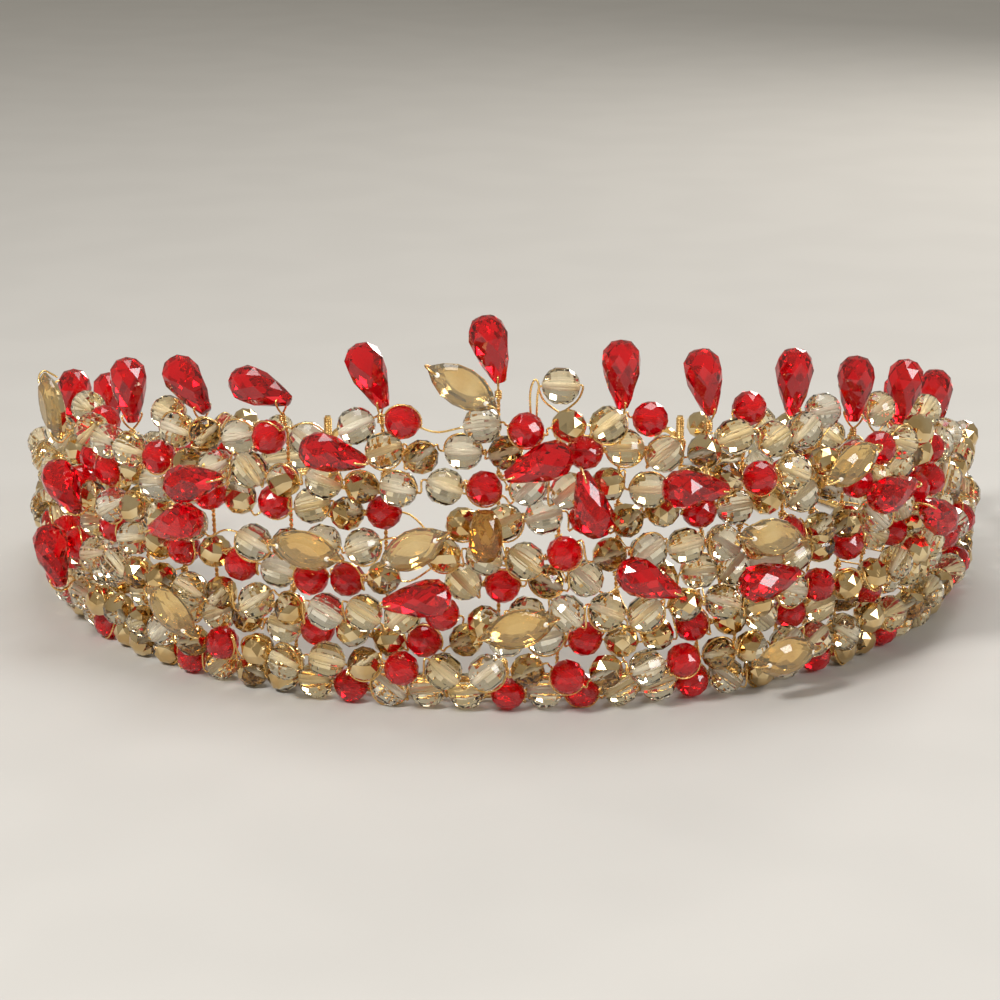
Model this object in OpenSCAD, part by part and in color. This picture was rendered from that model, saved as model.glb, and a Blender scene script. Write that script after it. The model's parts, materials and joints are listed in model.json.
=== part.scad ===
// Hand-wired bead crown: an open horseshoe band of threaded beads, tallest at the
// front, with a crest of teardrop stones standing on wire loops.
// Millimetres. +Z up, the front of the crown faces -Y, the open back faces +Y.
// Azimuth is counted in degrees from the front, positive towards +X.

/* [Band] */
// Radius of the circle that the lowest bead row is threaded on
band_r = 79.5; // [76:0.5:84]
// How much wider the band is at 50 mm height than at the base
flare = 2; // [0:0.5:4]
// Angle between two neighbouring beads of a row
pitch_deg = 4.5; // [4.5:0.05:4.8]
// Beads on each side of the middle of a full row
half_count = 33; // [30:1:33]
// Height of the band at the very front
front_h = 50; // [48:1:52]
// Height of the band at its two back ends
end_h = 11; // [11:0.5:14]

/* [Beads] */
// Diameter of the clear faceted beads
clear_d = 6; // [5.6:0.1:6]
// Diameter of the red faceted beads
red_d = 5.6; // [5.2:0.1:5.8]
// Diameter of the half-plated gold beads
plated_d = 5.5; // [5.2:0.1:5.8]
// Drill hole of every round bead
hole_d = 1.2; // [1.1:0.1:1.3]
// Uneven seating of the hand-threaded beads
unevenness = 1.1; // [0:0.1:1.2]

/* [Stones] */
// Length of a teardrop
drop_l = 11; // [10:0.5:12]
// Largest diameter of a teardrop
drop_d = 6.2; // [5.8:0.1:6.4]
// Length of a boat-shaped navette stone
navette_l = 12.4; // [11:0.2:13]
// Width of a navette stone
navette_w = 6.2; // [5.6:0.2:6.4]
// Thickness of a navette stone
navette_t = 3.6; // [3:0.2:4]

/* [Wire] */
// Diameter of the threading wire
wire_d = 0.4; // [0.3:0.05:0.5]
// Diameter of a twisted pair
twist_d = 0.8; // [0.6:0.1:1]
// Diameter of the base hoop
hoop_d = 1.2; // [0.9:0.1:1.5]
// Radial play of a crest drop on its wire pin
pin_play = 0.07; // [0.04:0.01:0.1]

/* [Hidden] */
$fn = 48;
eps = 0.01;

// ---- stringing chart: r red, c clear, g gold-plated, . no bead (wire only) ----
// One line a row from the base up, sites -16 to 16; odd rows sit half a pitch over.
CHART = [
    "cgcrgggrcggcrcccrcrccrcgcrggrccgc",
    "rccgggcgrgccgrccgrgcrggcccgcgcgcr",
    "rcgcgcgccgcrggrgccrggrgcrcgrccgcr",
    "crrccggcgcgcccrgccccgcgcrggcgcrcr",
    "gcgcrcgrgrcrrg.crgc.gccccgrcrgccg",
    "ccrgcggc.cgcc.gccrgcccgrggccrrcgc",
    "ccgrrgccrgrcgr.gccrggrcgcgrccgrcc",
    "...cccrgccgcgccrccgcggrcgcrcg....",
    ".......cgcrc.cgcg.rccgccc........",
    "............cr.crgcr.............",
];
CHART_REACH = 16;
// What the plain rows behind the chart repeat, one start letter later on each row
BACK_PATTERN = "cgrccgcrgcgc";
ROWS = len(CHART);

LOW_ROWS = 3;        // rows that lie close together at the base
LOW_STEP = 4.3;      // their height step
ROW_STEP = 5.2;      // height step of the rows above
LOW_WEAVE = 1.4;     // low rows stand this far in or out of the band's middle
HIGH_WEAVE = 0.9;    // the rows above
SETTLE_PASSES = 26;  // how often the beads push each other apart
SETTLE_GAP = 0.16;   // play that the pushing leaves between beads
BEAD_CLEAR = 0.3;    // a row's wire runs this far past its last bead
SIDES = 6;           // sides of the swept threading wires

RIB_IN = 5.6;        // twisted ribs stand this far inside the band's middle
PIN_IN = 4.4;        // crest loops stand this far inside it
HOOP_Z = 1;          // height of the base hoop's centre
END_DEG = 151.5;     // azimuth of the two end posts

HOLE_UP = 1.5;       // a drop's cross hole lies this far above its point
TIP_R = 1.15;        // radius of a drop's blunt point
KNOT_D = 0.9;        // round knots where crest wires turn
KNOT_TRIM = 0.2;     // how far short of a knot's centre its rods end
STONE_GAP = 0.35;     // play between a lying stone and the beads behind it
WIRE_FRONT = 0.9;    // bare stretches of threading wire reach this far out
LEG_OUT = 1.95;      // the loop's legs stand this far before and behind the hole
LEG_D = 0.34;        // the legs, drawn slightly thinner than the pin
LOOP_DOWN = 2.6;     // the loop's legs meet this far below the hole
RING_OUT = 2.4;      // end ring, outer radius
RING_IN = 1.5;       // end ring, inner radius
RING_T = 1.2;        // end ring, thickness

CLEAR = [0.93, 0.88, 0.75];
RED = [0.8, 0.02, 0.04];
GOLD = [0.85, 0.65, 0.25];
PLATED = [0.72, 0.58, 0.3];
TOPAZ = [0.55, 0.35, 0.08];

// Crest drops: [azimuth, height of the point over the band's top, lean to the right]
CREST_DROPS = [
    [-105, 0.5, -5], [-84, 0.5, -5], [-53, -0.4, -8], [-39, -0.2, -46], [-27, 0, -76],
    [-14.5, -1, -24], [-0.8, 2.8, -15], [13.6, -1, -2], [24.5, -1.5, -12], [36.5, -0.6, 2],
    [47.5, -0.7, 4], [59, 0, 18], [80, 0.5, -6], [106, 0.5, -5],
];
// Round crest beads: [azimuth, height of the centre over the band's top, kind]
CREST_BEADS = [
    [-67, 3.5, "c"], [-45, 0.5, "c"], [6.4, 2.4, "c"], [41.6, 0.6, "c"], [53, 2, "c"],
    [69, 3, "c"], [30, 0, "r"], [-61, 0.6, "r"],
];
// Drops lying on the band: [azimuth, height, turn of the point from up to the right]
BODY_DROPS = [
    [-18, 42.5, 98], [3.4, 42, -110], [8.6, 36, -15], [19.4, 37.5, 95], [-9, 20.5, -100],
    [14.8, 23, 115], [29, 20.5, 85], [-33.5, 36, 75], [-37, 28, -110], [-56.5, 28, 125],
    [46.5, 30.5, 85], [56, 23.5, -60], [-59, 15.5, 150],
];
// Navettes lying on the band: [azimuth, height, turn of the long axis]
NAVETTES = [
    [-9.6, 28, -28], [-21, 27, 8], [-38, 13, 30], [39.5, 37, -20], [1.4, 16, -15],
    [29, 27.5, 10], [31, 7.5, -5], [-64, 39, 55], [-4.4, 53.9, 30],
];
TOPAZ_AT = [-2, 31];
TOPAZ_L = 8;
TOPAZ_D = 5.4;

// ---- the band's surface ----
function band_top(a) = end_h + (front_h - end_h) * pow((1 + cos(a)) / 2, 1.5);
function row_z(row) =
    clear_d / 2 + LOW_STEP * min(row, LOW_ROWS) + ROW_STEP * max(row - LOW_ROWS, 0);
function weave(row) = (row % 2 == 0 ? -1 : 1) * (row <= LOW_ROWS ? LOW_WEAVE : HIGH_WEAVE);
function radius_at(z) = band_r + flare * z / 50;
// A place on the band from its arc length along the base, height, and depth outwards
function place(s, z, w) =
    let (a = s / band_r * 180 / PI, r = radius_at(z) + w)
    [r * sin(a), -r * cos(a) + centre_shift, z];
function outward(a) = [sin(a), -cos(a), 0];
function tangent(a) = [cos(a), sin(a), 0];
function arc(a) = a * PI / 180 * band_r;
function unit(v) = v / norm(v);
// Puts the middle of the whole crown's box on the origin
centre_shift = 7.91;

// ---- beads of the chart, settled so that none touches another ----
function letter(row, col) =
    abs(col) <= CHART_REACH ? CHART[row][col + CHART_REACH]
    : row_z(row) + clear_d / 2 > band_top(col * pitch_deg) + 2 ? "."
    : BACK_PATTERN[(abs(col) * 5 + row * 3 + (col > 0 ? 1 : 0)) % len(BACK_PATTERN)];
function bead_r(kind) = (kind == "c" ? clear_d : kind == "r" ? red_d : plated_d) / 2;
function spread(row, col, axis) =
    rands(-1, 1, 1, 17 + row * 997 + (col + 50) * 31 + axis * 7)[0] * unevenness;
function start_site(row, col) =
    let (kind = letter(row, col), shift = row % 2 == 0 ? 0 : 0.5, r = bead_r(kind))
    kind == "." ? undef :
    [arc((col + shift) * pitch_deg) + 0.4 * spread(row, col, 0),
     row == 0 ? r : row_z(row) + spread(row, col, 1),
     weave(row) + 0.5 * spread(row, col, 2),
     r];
function xyz(p) = [p[0], p[1], p[2]];
// Near sites of one site, as [row step, column step]
function near(row) =
    let (side = row % 2 == 0 ? -1 : 1)
    [[0, -1], [0, 1], [1, 0], [1, side], [-1, 0], [-1, side], [2, 0], [-2, 0],
     [1, -side], [-1, -side]];
function pushed(grid, row, i) =
    let (p = grid[row][i])
    is_undef(p) ? undef :
    let (moves = [for (n = near(row))
            let (q = row + n[0] < 0 ? undef : grid[row + n[0]][i + n[1]])
            if (!is_undef(q))
            let (d = xyz(p) - xyz(q), over = p[3] + q[3] + SETTLE_GAP - norm(d))
            if (over > 0) d / norm(d) * over * 0.55],
         m = moves == [] ? [0, 0, 0] : [for (k = [0:2]) sum([for (v = moves) v[k]])])
    [p[0] + m[0], row == 0 ? p[3] : max(p[1] + m[1], p[3]), p[2] + m[2], p[3]];
function sum(list, i = 0) = i >= len(list) ? 0 : list[i] + sum(list, i + 1);
function settle(grid, n) =
    n == 0 ? grid :
    settle([for (row = [0:ROWS - 1]) [for (i = [0:2 * half_count]) pushed(grid, row, i)]], n - 1);
GRID = settle(
    [for (row = [0:ROWS - 1]) [for (i = [0:2 * half_count]) start_site(row, i - half_count)]],
    SETTLE_PASSES);
// One row's beads in threading order: [centre, radius, kind, arc, depth]
function row_beads(row) =
    [for (i = [0:2 * half_count])
        let (p = GRID[row][i])
        if (!is_undef(p))
        [place(p[0], p[1], p[2]), p[3], letter(row, i - half_count), p[0], p[2]]];
BEADS = [for (row = [0:ROWS - 1]) row_beads(row)];
// Direction that the wire takes through bead i of a row
function thread_dir(beads, i) =
    let (a = beads[max(i - 1, 0)], b = beads[min(i + 1, len(beads) - 1)],
         here = beads[i],
         from = norm(a[0] - here[0]) < 3 * clear_d ? a[0] : here[0],
         to = norm(b[0] - here[0]) < 3 * clear_d ? b[0] : here[0])
    norm(to - from) < 1 ? tangent(here[3] / band_r * 180 / PI) : unit(to - from);

// ---- shapes ----
// Turns +Z onto a direction
module along(d) {
    u = unit(d);
    rotate([0, acos(u[2]), atan2(u[1], u[0])]) children();
}
module rod(a, b, d) {
    translate(a) along(b - a) cylinder(d = d, h = norm(b - a));
}
// A wire through points with a small round knot at each; its rods end inside the knots
module wire(points, d, knot_d = KNOT_D) {
    for (i = [1:len(points) - 1]) {
        trim = unit(points[i] - points[i - 1]) * KNOT_TRIM;
        rod(points[i - 1] + trim, points[i] - trim, d);
    }
    for (p = points) translate(p) sphere(d = knot_d);
}
// Stands children on the band at an azimuth: +X right, +Y into the crown, +Z up
module stand(a, z, w) {
    translate(place(arc(a), z, w)) rotate([0, 0, a]) children();
}
// A wire swept through points; up is any direction that the wire never takes
module swept(points, d, up) {
    n = len(points);
    rings = [for (i = [0:n - 1])
        let (t = unit(points[min(i + 1, n - 1)] - points[max(i - 1, 0)]),
             x = unit(cross(up, t)), y = cross(t, x))
        for (k = [0:SIDES - 1]) points[i] + d / 2 * (x * cos(k * 360 / SIDES) + y * sin(k * 360 / SIDES))];
    walls = [for (i = [0:n - 2], k = [0:SIDES - 1])
        let (a = i * SIDES + k, b = i * SIDES + (k + 1) % SIDES)
        each [[a, a + SIDES, b], [b, a + SIDES, b + SIDES]]];
    caps = [[for (k = [0:SIDES - 1]) k], [for (k = [SIDES - 1:-1:0]) (n - 1) * SIDES + k]];
    polyhedron(rings, concat(walls, caps));
}

module bead(b, dir) {
    translate(b[0]) along(dir) difference() {
        sphere(r = b[1]);
        cylinder(d = hole_d, h = 3 * b[1], center = true);
    }
}
module beads_of(kind, rows) {
    for (row = rows, i = [0:len(BEADS[row]) - 1])
        if (BEADS[row][i][2] == kind) bead(BEADS[row][i], thread_dir(BEADS[row], i));
}
module clear_beads(rows) { color(CLEAR) beads_of("c", rows); }
module red_beads(rows) { color(RED) beads_of("r", rows); }
module plated_beads(rows) { color(PLATED) beads_of("g", rows); }

module strand_wire(row) {
    beads = BEADS[row];
    last = len(beads) - 1;
    hold = [for (i = [0:last]) let (d = thread_dir(beads, i), b = beads[i])
        each [b[0] - d * (b[1] - 0.4), b[0] + d * (b[1] - 0.4)]];
    first_end = hold[0] - thread_dir(beads, 0) * (0.4 + BEAD_CLEAR);
    last_end = hold[len(hold) - 1] + thread_dir(beads, last) * (0.4 + BEAD_CLEAR);
    color(GOLD) swept(concat([first_end], hold, [last_end]), wire_d, [0, 0, 1]);
}

function hoop_r() = band_r - RIB_IN;
module base_hoop() {
    color(GOLD) translate([0, centre_shift, HOOP_Z])
        rotate([0, 0, -90 - END_DEG]) rotate_extrude(angle = 2 * END_DEG)
            translate([hoop_r(), 0]) circle(d = hoop_d);
}

// ---- teardrops ----
// Outline of a teardrop's half section, point at the origin, round end up
function drop_outline() =
    let (r = drop_d / 2, top = drop_l - r, reach = top - TIP_R,
         tilt = asin((r - TIP_R) / reach))
    concat(
        [for (t = [-90:15:-tilt]) [TIP_R * cos(t), TIP_R + TIP_R * sin(t)]],
        [for (t = [-tilt:(90 + tilt) / 9:90 + eps]) [max(r * cos(t), 0), top + r * sin(t)]]);
// A drop with its cross hole at the origin, the hole along Y, the round end up
module drop(hole) {
    difference() {
        translate([0, 0, -HOLE_UP]) rotate_extrude() polygon(drop_outline());
        rotate([90, 0, 0]) cylinder(d = hole, h = drop_d, center = true);
    }
}
function crest_z(c) = band_top(c[0]) + c[1];
module crest_place(c) { stand(c[0], crest_z(c) + HOLE_UP, -PIN_IN) children(); }
module crest_drop(i) {
    c = CREST_DROPS[i];
    color(RED) crest_place(c) rotate([0, c[2], 0]) drop(wire_d + 2 * pin_play);
}
// The wire that carries a crest drop: pin, two legs, twisted stem and rib to the hoop
module crest_wire(c) {
    pin = crest_z(c) + HOLE_UP;
    knot = [0, 0, -LOOP_DOWN];
    crest_place(c) {
        rod([0, -LEG_OUT, 0], [0, LEG_OUT, 0], wire_d);
        for (side = [-1, 1]) wire([knot, [0, side * LEG_OUT, 0]], LEG_D);
    }
    rib(c[0], pin - LOOP_DOWN);
}
// A twisted rib from the base hoop up to a height, leaning out to the crest at its top
module rib(a, top) {
    bend = top - 4;
    out = outward(a);
    foot = place(arc(a), HOOP_Z + hoop_d / 2 + twist_d / 2 + 0.05, 0)
        - out * (RIB_IN + flare * (HOOP_Z + 1) / 50);
    wire([foot, place(arc(a), bend, -RIB_IN), place(arc(a), top, -PIN_IN)], twist_d, twist_d + 0.2);
}
module crest_wires() { color(GOLD) for (c = CREST_DROPS) crest_wire(c); }

// ---- round beads on the crest ----
module crest_bead_place(c) { stand(c[0], band_top(c[0]) + c[1], -PIN_IN) children(); }
module crest_bead(c) {
    crest_bead_place(c) rotate([0, 90, 0]) bead([[0, 0, 0], bead_r(c[2])], [0, 0, 1]);
}
module crest_bead_wire(c) {
    r = bead_r(c[2]);
    side = r + 0.5;
    knot = [0, 0, -r - 1.4];
    crest_bead_place(c) {
        rod([-side, 0, 0], [side, 0, 0], wire_d);
        for (way = [-1, 1])
            wire([knot, [way * side * 0.78, 0, -r * 0.95], [way * side, 0, 0]], LEG_D, 0.6);
    }
    rib(c[0], band_top(c[0]) + c[1] - r - 1.4);
}
module crest_bead_wires() { color(GOLD) for (c = CREST_BEADS) crest_bead_wire(c); }
module crest_beads(kind) {
    color(kind == "r" ? RED : CLEAR)
        for (c = CREST_BEADS) if (c[2] == kind) crest_bead(c);
}

// ---- stones that rest on the bead rows ----
// Depth at which a ball at [arc, height] first touches the beads behind it
function rest_depth(s, z, r) =
    max([for (row = BEADS, b = row)
        let (d = norm([s - b[3], z - b[0][2]]), reach = r + b[1])
        d < reach ? b[4] + sqrt(reach * reach - d * d) : r + WIRE_FRONT]);
// Balls that stand for a stone's outline: [distance along it, across it, radius]
DROP_BALLS = [[-4.2, 0, TIP_R + 0.1], [-1.6, 0, 2], [0.6, 0, 2.75], [2.4, 0, drop_d / 2]];
NAVETTE_BALLS = [[0, 0, 1.8], [3, 0, 1.7], [-3, 0, 1.7], [5.4, 0, 1], [-5.4, 0, 1],
    [0, 2.4, 0.8], [0, -2.4, 0.8], for (l = [-1, 1], w = [-1, 1]) each
    [[2.8 * l, 1.7 * w, 0.8], [1.5 * l, 1.3 * w, 1.5], [4.1 * l, 0.7 * w, 1.1]]];
TOPAZ_BALLS = [[0, 0, TOPAZ_D / 2], [1.8, 0, 2.1], [-1.8, 0, 2.1]];
function stone_depth(a, z, turn, balls) =
    STONE_GAP + max([for (b = balls)
        rest_depth(arc(a) + b[0] * sin(turn) + b[1] * cos(turn),
                   z + b[0] * cos(turn) - b[1] * sin(turn), b[2])]);
// Stands a stone on the band with its own +Z turned clockwise from up
module stone_place(a, z, turn, depth) { stand(a, z, depth) rotate([0, turn, 0]) children(); }
function drop_turn(d) = d[2] + 180;
function drop_depth(d) = stone_depth(d[0], d[1], drop_turn(d), DROP_BALLS);
// Stands children at a lying drop's cross hole
module body_drop_place(d) {
    stone_place(d[0], d[1], drop_turn(d), drop_depth(d))
        translate([0, 0, HOLE_UP - drop_l / 2]) children();
}
module body_drops() { color(RED) for (d = BODY_DROPS) body_drop_place(d) drop(2 * wire_d); }
// A straight tie wire from a knot on the front of a stone back through its hole
module tie(front, back) {
    rod([0, -front, 0], [0, back, 0], wire_d);
    translate([0, -front, 0]) sphere(d = KNOT_D);
}
module body_drop_ties() { color(GOLD) for (d = BODY_DROPS) body_drop_place(d) tie(1.6, 1.2); }
function navette_depth(s) = stone_depth(s[0], s[1], s[2] + 90, NAVETTE_BALLS);
NAVETTE_HOLE = 1.9;
// Boat shape, long axis along Z, flat sides before and behind
module navette() {
    r_out = (pow(navette_l, 2) + pow(navette_w, 2)) / (4 * navette_w);
    r_face = (pow(navette_w, 2) + pow(navette_t, 2)) / (4 * navette_t);
    r_side = (pow(navette_l + 3, 2) + pow(navette_t, 2)) / (4 * navette_t);
    difference() {
        intersection() {
            rotate([90, 0, 0]) linear_extrude(navette_t + 1, center = true) intersection() {
                translate([r_out - navette_w / 2, 0]) circle(r_out);
                translate([-r_out + navette_w / 2, 0]) circle(r_out);
            }
            linear_extrude(navette_l + 1, center = true) intersection() {
                translate([0, r_face - navette_t / 2]) circle(r_face);
                translate([0, -r_face + navette_t / 2]) circle(r_face);
            }
            rotate([0, 90, 0]) linear_extrude(navette_w + 1, center = true) intersection() {
                translate([0, r_side - navette_t / 2]) circle(r_side);
                translate([0, -r_side + navette_t / 2]) circle(r_side);
            }
        }
        for (end = [-1, 1]) translate([0, 0, end * (navette_l / 2 - NAVETTE_HOLE)])
            rotate([90, 0, 0]) cylinder(d = 2 * wire_d, h = 2 * navette_t, center = true);
    }
}
module navette_stones() {
    color(CLEAR) for (s = NAVETTES)
        stone_place(s[0], s[1], s[2] + 90, navette_depth(s)) navette();
}
module navette_ties() {
    color(GOLD) for (s = NAVETTES, end = [-1, 1])
        stone_place(s[0], s[1], s[2] + 90, navette_depth(s))
            translate([0, 0, end * (navette_l / 2 - NAVETTE_HOLE)]) tie(1.8, 1.3);
}
module topaz_bead() {
    color(TOPAZ) stand(TOPAZ_AT[0], TOPAZ_AT[1],
            stone_depth(TOPAZ_AT[0], TOPAZ_AT[1], 0, TOPAZ_BALLS)) difference() {
        rotate_extrude() intersection() {
            translate([TOPAZ_D / 2 - TOPAZ_L * 0.62, 0]) circle(TOPAZ_L * 0.62);
            translate([0, -TOPAZ_L / 2]) square([TOPAZ_D, TOPAZ_L]);
        }
        cylinder(d = hole_d, h = 2 * TOPAZ_L, center = true);
    }
}

// ---- back ends ----
// An upright wire post at an end of the band, closed by a soldered ring for a ribbon
module end_post(side) {
    a = side * END_DEG;
    color(GOLD) translate([0, 0, HOOP_Z + hoop_d / 2 + 0.05]) {
        foot = place(arc(a), 0, 0) - outward(a) * RIB_IN;
        translate(foot) cylinder(d = hoop_d, h = end_h - 1);
    }
}
module end_ring(side) {
    a = side * END_DEG;
    color(GOLD) translate([0, 0, end_h / 2 + 1])
        translate(place(arc(a), 0, 0) - outward(a) * RIB_IN
            + side * tangent(a) * (RING_OUT + hoop_d / 2 + 0.05))
        rotate([0, 0, a]) rotate([90, 0, 0]) difference() {
            cylinder(r = RING_OUT, h = RING_T, center = true);
            cylinder(r = RING_IN, h = 2 * RING_T, center = true);
        }
}

base_hoop();
end_post(-1);  // end_post_left
end_post(1);  // end_post_right
end_ring(-1);  // end_ring_left
end_ring(1);  // end_ring_right
for (i = [1:10]) strand_wire(i - 1);
clear_beads([0:2]);  // clear_beads_lower
clear_beads([3:5]);  // clear_beads_middle
clear_beads([6:9]);  // clear_beads_upper
red_beads([0:2]);  // red_beads_lower
red_beads([3:5]);  // red_beads_middle
red_beads([6:9]);  // red_beads_upper
plated_beads([0:2]);  // plated_beads_lower
plated_beads([3:5]);  // plated_beads_middle
plated_beads([6:9]);  // plated_beads_upper
crest_wires();
crest_bead_wires();
crest_beads("c");  // crest_beads_clear
crest_beads("r");  // crest_beads_red
body_drops();
body_drop_ties();
navette_stones();
navette_ties();
topaz_bead();
for (i = [1:14]) crest_drop(i - 1);
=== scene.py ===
"""Hand-wired bead crown: cut glass beads, drops and navettes on gold wire.

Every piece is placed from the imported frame: a bead's centre and drill axis, a stone's
hole and long axis, and a crest drop's hinge all come from the frame's own solids.
"""
import functools
import json
import math
import random

import bmesh
import bpy
import numpy as np
from mathutils import Matrix, Vector


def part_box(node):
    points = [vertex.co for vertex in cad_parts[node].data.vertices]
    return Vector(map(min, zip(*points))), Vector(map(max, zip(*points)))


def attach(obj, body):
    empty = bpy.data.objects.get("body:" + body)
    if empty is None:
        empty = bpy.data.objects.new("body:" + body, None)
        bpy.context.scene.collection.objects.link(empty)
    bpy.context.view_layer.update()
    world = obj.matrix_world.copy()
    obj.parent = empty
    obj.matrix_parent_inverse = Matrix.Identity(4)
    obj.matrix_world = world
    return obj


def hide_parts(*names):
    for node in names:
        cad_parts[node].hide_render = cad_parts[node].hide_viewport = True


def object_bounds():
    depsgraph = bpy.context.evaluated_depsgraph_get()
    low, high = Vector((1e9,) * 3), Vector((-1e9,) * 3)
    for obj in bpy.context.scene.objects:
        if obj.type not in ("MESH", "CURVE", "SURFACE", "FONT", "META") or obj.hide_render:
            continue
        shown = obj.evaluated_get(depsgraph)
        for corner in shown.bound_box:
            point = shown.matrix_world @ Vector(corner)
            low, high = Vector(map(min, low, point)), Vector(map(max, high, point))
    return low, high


bl_info = {
    "name": "Hand-wired bead crown",
    "version": (1, 0, 0),
    "blender": (4, 5, 0),
    "location": "View3D > Sidebar > Bead crown",
    "description": "Builds a crown of cut glass beads and stones threaded on gold wire",
    "category": "Object",
}

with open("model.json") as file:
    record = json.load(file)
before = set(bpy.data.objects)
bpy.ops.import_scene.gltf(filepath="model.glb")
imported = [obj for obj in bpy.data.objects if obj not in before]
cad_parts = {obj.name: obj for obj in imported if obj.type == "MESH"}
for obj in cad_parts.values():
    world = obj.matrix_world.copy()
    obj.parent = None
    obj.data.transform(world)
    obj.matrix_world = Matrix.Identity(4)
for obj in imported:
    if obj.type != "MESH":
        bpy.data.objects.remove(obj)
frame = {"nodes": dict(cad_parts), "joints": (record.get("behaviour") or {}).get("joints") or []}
CAD_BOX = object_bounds()
MM = 0.001
ROOT = "crown"
TIERS = ("lower", "middle", "upper")
UP = Vector((0, 0, 1))

# Reading the frame
SAME_PLACE = 1e-7           # corners nearer than this are one corner
WALL_REACH = 0.08 * MM      # a hole's wall has more of its own solid this far in front
WIRE_NEAR = 0.4 * MM        # how near its row's wire passes to the end of a bead
CREST_LEAN = 0.15           # lean of a crest bead's drill hole, in radians

# Glass
BEAD_RADIUS = 3 * MM        # of a common bead, by which the drill hole is scaled
COAT_EDGE = -0.15           # the gold coat reaches a little past one half
HOLE_UP = 1.5 * MM          # hole of a teardrop, up from its point
DROP_LENGTH = 10.98 * MM
DROP_WIDTH = 6.2 * MM
DROP_HOLE = 0.27 * MM
# Rows of a teardrop's corners, as shares of its width and length
DROP_ROWS = ((0.3, 0.015), (0.47, 0.13), (0.7, 0.3), (0.9, 0.5), (1.0, 0.68), (0.9, 0.84),
             (0.55, 0.96))
NAVETTE_SIZE = (12.3 * MM, 6.2 * MM, 3.5 * MM)
NAVETTE_HOLES = 4.3 * MM    # from the middle of a navette to each of its holes
NAVETTE_HOLE = 0.4 * MM
FOIL_BEHIND = 0.3 * MM      # facets of a navette further back than this are foiled

# Wirework; the loops are (across, along) places in millimetres
PIN_INSIDE = 4.4 * MM       # setback of the top of a rib, under its knot
RIB_BEND = 4 * MM           # depth below its knot at which a rib is fully set back
HOOP_CLEAR = 0.35 * MM      # foot of a rib above the hoop
HOLE_CLEAR = 0.25 * MM      # straight wire past each end of a drill hole
FINE = 0.85                 # gauge of loops and bindings, as a share of the thread's
COIL_PITCH = 0.36 * MM
CREST_LOOP = [(0, -2.6), (0.7, -2.1), (1.5, -1.2), (1.9, -0.25), (1.2, 0)]
FREE_LOOP = [(-0.5, -3), (-0.7, 1.2), (-0.45, 3.2), (0.15, 4.1), (0.65, 3.1), (0.4, 1.2),
             (0.3, -3)]
DROP_TIE = [(-2.6, -0.4), (-1.9, 0.1), (-0.8, 0), (0.8, 0), (1.75, -0.15), (1.5, -1.3),
            (0.5, -2.0), (-0.8, -1.9), (-1.9, -1.0), (-2.8, -0.6)]
NAVETTE_TIE = [(-2.2, 0.3), (-1.5, 0), (0, 0), (1.1, 0), (1.35, 0.5), (0.9, 1.7), (0, 2.2),
               (-0.9, 1.7), (-2.0, 0.8)]

# Camera
LENS = 115.2
LOOK_DOWN = math.radians(15.7)
CAMERA_ACROSS = -0.8 * MM
CAMERA_BEFORE = 471.9 * MM  # in front of the lowest beads
CAMERA_HEIGHT = 168.7 * MM


# ---------------------------------------------------------------- sizes and colours
class BeadSettings(bpy.types.PropertyGroup):
    """Cut of the beads and stones"""

    hole_radius: bpy.props.FloatProperty(
        name="Drill hole", description="Radius of the hole through a bead",
        default=0.42 * MM, unit="LENGTH")
    clear_around: bpy.props.IntProperty(
        name="Clear facets", description="Facets around a clear bead", default=14)
    red_around: bpy.props.IntProperty(
        name="Red facets", description="Facets around a red bead", default=10)
    plated_around: bpy.props.IntProperty(
        name="Plated facets", description="Facets around a plated bead", default=9)
    drop_around: bpy.props.IntProperty(
        name="Drop facets", description="Facets around a teardrop", default=8)
    seed: bpy.props.IntProperty(
        name="Seed", description="Start of the random turns of beads and wire", default=11)
    lean: bpy.props.FloatProperty(
        name="Drill lean", description="Most that a bead's drill hole leans off its row",
        default=math.radians(48), subtype="ANGLE")
    loops: bpy.props.FloatProperty(
        name="Side loops", description="Share of the beads with a wire round their side",
        default=0.5, subtype="FACTOR")


class WireSettings(bpy.types.PropertyGroup):
    """Gauge, twist and stand of the gold wire"""

    band_radius: bpy.props.FloatProperty(
        name="Band radius", description="Radius of the middle of the bead band at its foot",
        default=79.5 * MM, unit="LENGTH")
    band_flare: bpy.props.FloatProperty(
        name="Band flare", description="Growth of that radius over each unit of height",
        default=0.04)
    rib_inside: bpy.props.FloatProperty(
        name="Rib setback", description="How far the twisted ribs stand inside the band",
        default=5.6 * MM, unit="LENGTH")

    thread_radius: bpy.props.FloatProperty(
        name="Wire radius", description="Radius of one strand of wire",
        default=0.17 * MM, unit="LENGTH")
    twist_pitch: bpy.props.FloatProperty(
        name="Twist pitch", description="Length of one full turn of a twisted pair",
        default=1.7 * MM, unit="LENGTH")
    sides: bpy.props.IntProperty(
        name="Wire sides", description="Flat sides of a swept wire", default=7)


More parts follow.
